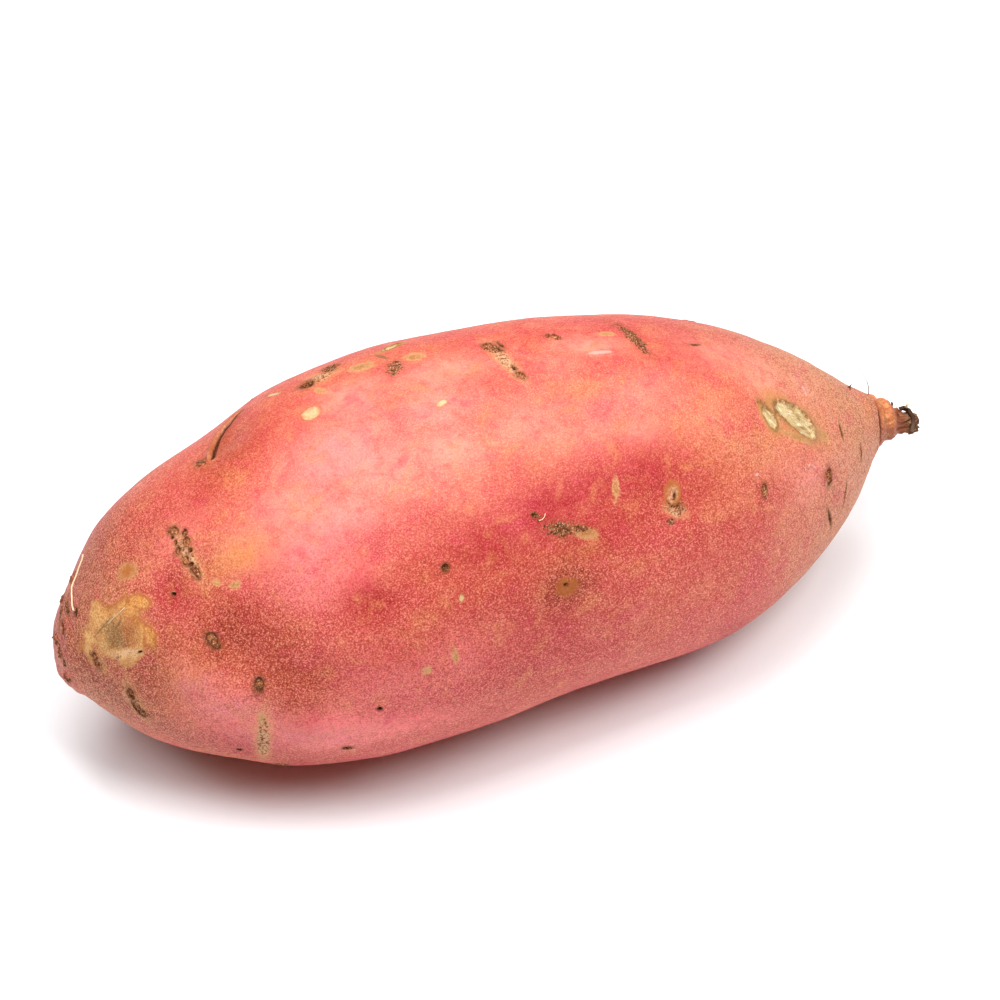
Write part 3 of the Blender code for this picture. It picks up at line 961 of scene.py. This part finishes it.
def paintStraw(colour):
    straw = torn("straw", 1.0)
    grain = addNode("ShaderNodeAttribute", {}, attribute_name="grain").outputs["Vector"]
    streaks = noiseAt(stretched(grain, 0.3, 1.0, 1.0), 1.5, 5.0, 0.7, 0.8)
    halo = times(within(straw, 1.0, 2.0), rampOf("small", 0.34, 0.6, 0.3, 0.9))
    colour = over(colour, halo, "halo")
    tint = over("strawLine", rampOf(streaks, 0.36, 0.5, 0.25), "straw")
    tint = patterned(tint, (streaks, 0.52, 0.64, 1.0, "strawWhite"), ("small", 0.52, 0.66, 0.7, "halo"),
                     ("speck", 0.48, 0.34, 0.6, "strawLine"))
    area = within(straw, 0.75, 1.05)
    colour = over(colour, area, tint)
    outline = times(ringOf(straw, 0.75, 1.0, 1.25), rampOf("ragged", 0.4, 0.58, 0.1, 0.75))
    colour = over(colour, outline, "strawEdge")
    spot = torn("tanSpot", 1.3)
    tint = patterned("tanHeart", ("dash", 0.42, 0.6, 1.0, "corkLight"), ("crumb", 0.5, 0.38, 0.8, "goldRim"))
    rim = times(ringOf(spot, 0.55, 1.0, 1.6), rampOf("small", 0.38, 0.58, 0.3, 0.95))
    colour = over(colour, within(spot, 0.75, 1.2, 0.9), tint)
    return over(colour, rim, "goldRim"), area


def paintScars(colour):
    colour = over(colour, within(torn("vein", 1.6), 0.5, 1.5, 0.75), "strawLine")
    scar = torn("scar", 1.2)
    colour = over(colour, times(ringOf(scar, 0.8, 1.15, 1.8), 0.45), "scabBrown")
    heart = patterned("corkBrown", ("crumb", 0.4, 0.54, 1.0, "scarHeart"),
                      ("speck", 0.54, 0.66, 0.7, "corkLight"))
    area = within(scar, 0.85, 1.0)
    colour = over(colour, area, heart)
    ring = times(ringOf(scar, 0.5, 0.82, 1.12), rampOf("ragged", 0.38, 0.52, 0.1))
    colour = over(colour, ring, "scarRing")
    crack = torn("crack", 1.3)
    colour = over(colour, within(crack, 0.8, 1.9, 0.5), "strawLine")
    colour = over(colour, within(crack, 0.5, 1.1, 0.9), "scarRing")
    pit = torn("pit", 1.2)
    colour = over(colour, within(pit, 0.9, 1.8, 0.5), "scabBrown")
    hole = patterned("dark", ("speck", 0.5, 0.62, 0.8, "scarHeart"))
    colour = over(colour, within(pit, 0.6, 1.1), hole)
    colour = over(colour, within(torn("burr", 0.8), 0.5, 1.1, 0.85), "corkBrown")
    return colour, greatest(area, within(crack, 0.7, 1.0), within(pit, 0.8, 1.0))


def paintCrease(colour):
    across = mathOf("ADD", "creaseAcross", addUp("ragged", 0.3, -0.15))
    present = times(rampOf("creaseShare", 0.0, 0.04), within("creaseShare", 0.95, 0.99))
    past = mathOf("SUBTRACT", across, rampOf("creaseShare", 0.1, 0.6, -0.4, -0.65))
    lipSide = times(rampOf(past, -0.1, 0.2), within(across, -0.1, 0.1), present, 0.9)
    tint = patterned("lip", ("grain", 0.4, 0.65, 1.0, "tan"), ("small", 0.55, 0.4, 0.6, "brown"))
    colour = over(colour, lipSide, tint)
    edge = times(ringOf(past, -0.35, -0.05, 0.25), present, rampOf("small", 0.35, 0.6, 0.4, 0.9))
    colour = over(colour, edge, "brown")
    # painted shadow: the skin on the tail's side of the crease, from about 0.2 to 4 mm out, is darkened with
    # brown as the fold's shadow
    colour = over(colour, times(ringOf(across, 0.2, 0.9, 4.0), present, 0.45), "brown")
    # painted shade: the slit is painted dark as the shade inside the fold
    outer = rampOf("creaseShare", 0.1, 0.9, 0.16, 0.42)
    slit = times(rampOf(across, -0.12, 0.04), within(across, 0.02, outer), present)
    return over(colour, slit, "dark")


def paintTail(colour):
    groove, end = tail["groove"], tail["collarEnd"]
    edge = mathOf("ADD", "along", "small")
    tint = patterned("collar", ("small", 0.42, 0.62, 1.0, "amber"), ("streak", 0.5, 0.68, 0.6, "brown"),
                     ("lowSide", 0.1, 0.8, 0.85, "collarLow"), ("speck", 0.5, 0.38, 0.6, "brown"),
                     ("grain", 0.52, 0.68, 0.5, "patchPale"))
    colour = patterned(colour, (edge, groove + 0.2, groove + 1.4, 0.8, tint),
                       ("groove", 0.05, 0.5, 0.6, "brown"), ("groove", 0.4, 0.7, 0.95, "scarRing"),
                       (edge, end - 1.0, end + 0.6, 0.8, "collarLow"))
    stub = rampOf(edge, end + 0.5, end + 1.6)
    tint = patterned("stubDark", ("dash", 0.42, 0.6, 1.0, "stubPale"), ("crumb", 0.4, 0.6, 0.7, "corkBrown"),
                     ("along", 83.4, 81.4, 0.6, "collarLow"))
    return over(colour, stub, tint), stub


def paintRootlets(colour):
    tint = patterned("hairDark", ("rootlet", 0.5, 0.95, 1.0, "hairPale"))
    return patterned(colour, ("rootlet", 0.05, 0.3, 1.0, tint))


def paintSkin():
    place = addNode("ShaderNodeTexCoord", {}).outputs["Object"]
    inMm = stretched(place, 1 / mm, 1 / mm, 1 / mm)
    lengthwise = stretched(inMm, longStretch, 1.0, 1.0)
    patterns["along"], _, patterns["up"] = addNode("ShaderNodeSeparateXYZ", {"Vector": inMm}).outputs
    for where, plans in ((inMm, skinNoises), (lengthwise, longNoises)):
        patterns.update({name: noiseAt(where, *plan) for name, plan in plans.items()})
    colour, corkArea = paintCork(paintPatch(paintStains(groundColour())))
    colour, strawArea = paintStraw(colour)
    colour, scarArea = paintScars(colour)
    colour, stubArea = paintTail(paintCrease(colour))
    dull = greatest(corkArea, strawArea, scarArea, stubArea)
    wax = rampOf("grain", 0.25, 0.75, *finish["waxRough"])
    rough = addNode("ShaderNodeMix", {0: dull, 2: wax, 3: finish["dullRough"]}, data_type="FLOAT").outputs[0]
    relief = addUp("speck", 0.5, addUp("small", 1.2, "grain"))
    relief = addUp(times("crumb", dull), 1.5, relief)
    bump = addNode("ShaderNodeBump", {"Strength": 1.0, "Distance": finish["reliefDepth"], "Height": relief})
    tree = skinMaterial.node_tree
    shader = tree.nodes["Principled BSDF"]
    tree.links.new(paintRootlets(colour), shader.inputs["Base Color"])
    tree.links.new(rough, shader.inputs["Roughness"])
    tree.links.new(bump.outputs["Normal"], shader.inputs["Normal"])
    shader.inputs["Specular IOR Level"].default_value = finish["specular"]
    print("skin painted:", len(tree.nodes), "nodes")


# The studio: a pale floor under a ring of soft lights, each (degrees round from +X, degrees up, watts).

studio = {
    "aim": (0.0008, 0.0082, 0.0306),
    "azimuth": -20.07,
    "elevation": 48.0,
    "distance": 0.6,
    "lens": 117.26,
    "softboxes": {
        "frontSoftbox": (-45, 62, 9.3),
        "topSoftbox": (0, 90, 5.6),
        "leftSoftbox": (180, 62, 5.4),
        "backSoftbox": (90, 62, 4.2),
    },
    "softboxDistance": 1.1,
    "softboxSize": 0.5,
    "roomLight": 0.02,
    "backdrop": 1.0,  # how bright the empty room looks beyond the floor
    "floorRadius": 0.6,
    "floorColour": (0.915, 0.93, 0.95, 1.0),
}


def addCamera():
    turn = math.radians(studio["azimuth"])
    rise = math.radians(studio["elevation"])
    back = Vector((math.sin(turn) * math.cos(rise), -math.cos(turn) * math.cos(rise), math.sin(rise)))
    aim = Vector(studio["aim"])
    camera = bpy.data.objects.new("studioCamera", bpy.data.cameras.new("studioCamera"))
    camera.location = aim + back * studio["distance"]
    camera.rotation_euler = back.to_track_quat("Z", "Y").to_euler()
    camera.data.lens = studio["lens"]
    camera.data.clip_start = 0.01
    bpy.context.scene.collection.objects.link(camera)
    bpy.context.scene.camera = camera


def addLights():
    for name, (around, up, watts) in studio["softboxes"].items():
        turn, rise = math.radians(around), math.radians(up)
        direction = Vector((math.cos(turn) * math.cos(rise), math.sin(turn) * math.cos(rise), math.sin(rise)))
        light = bpy.data.lights.new(name, "AREA")
        light.shape = "SQUARE"
        light.size = studio["softboxSize"]
        light.energy = watts
        lamp = bpy.data.objects.new(name, light)
        lamp.location = direction * studio["softboxDistance"]
        lamp.rotation_euler = direction.to_track_quat("Z", "Y").to_euler()
        bpy.context.scene.collection.objects.link(lamp)
    world = bpy.data.worlds.new("studioRoom")
    world.use_nodes = True
    background = world.node_tree.nodes["Background"]
    background.inputs["Color"].default_value = (1.0, 1.0, 1.0, 1.0)
    seen = addNode("ShaderNodeLightPath", {}, world.node_tree).outputs["Is Camera Ray"]
    levels = {0: seen, 1: studio["backdrop"], 2: studio["roomLight"]}
    strength = addNode("ShaderNodeMath", levels, world.node_tree, operation="MULTIPLY_ADD").outputs[0]
    world.node_tree.links.new(strength, background.inputs["Strength"])
    bpy.context.scene.world = world


def addFloor():
    deselectAll()
    # it ends where the light would fall away, and the pale room carries on behind it
    bpy.ops.mesh.primitive_circle_add(vertices=96, radius=studio["floorRadius"], fill_type="NGON")
    floor = bpy.context.object
    floor.name = "studioFloor"
    material = bpy.data.materials.new("studioFloor")
    material.use_nodes = True
    shader = material.node_tree.nodes["Principled BSDF"]
    shader.inputs["Base Color"].default_value = studio["floorColour"]
    shader.inputs["Roughness"].default_value = 0.9
    floor.data.materials.append(material)


addCamera()
addLights()
addFloor()
bpy.context.scene.view_settings.view_transform = "Standard"
print("studio ready")

rootForm = makeForm()
rootSkin = makeSkin(rootForm)
skinFields = measureFields(rootSkin, rootForm)
sculpt(rootSkin, rootForm, skinFields)
storeFields(rootSkin, skinFields)
growRootlets(rootSkin, rootForm)
paintSkin()
rootSkin.data.materials.clear()
rootSkin.data.materials.append(skinMaterial)
pickOnly(rootSkin)
bpy.ops.object.shade_smooth()
bpy.data.objects.remove(rootForm)

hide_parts("sweet_potato")
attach(rootSkin, "root")
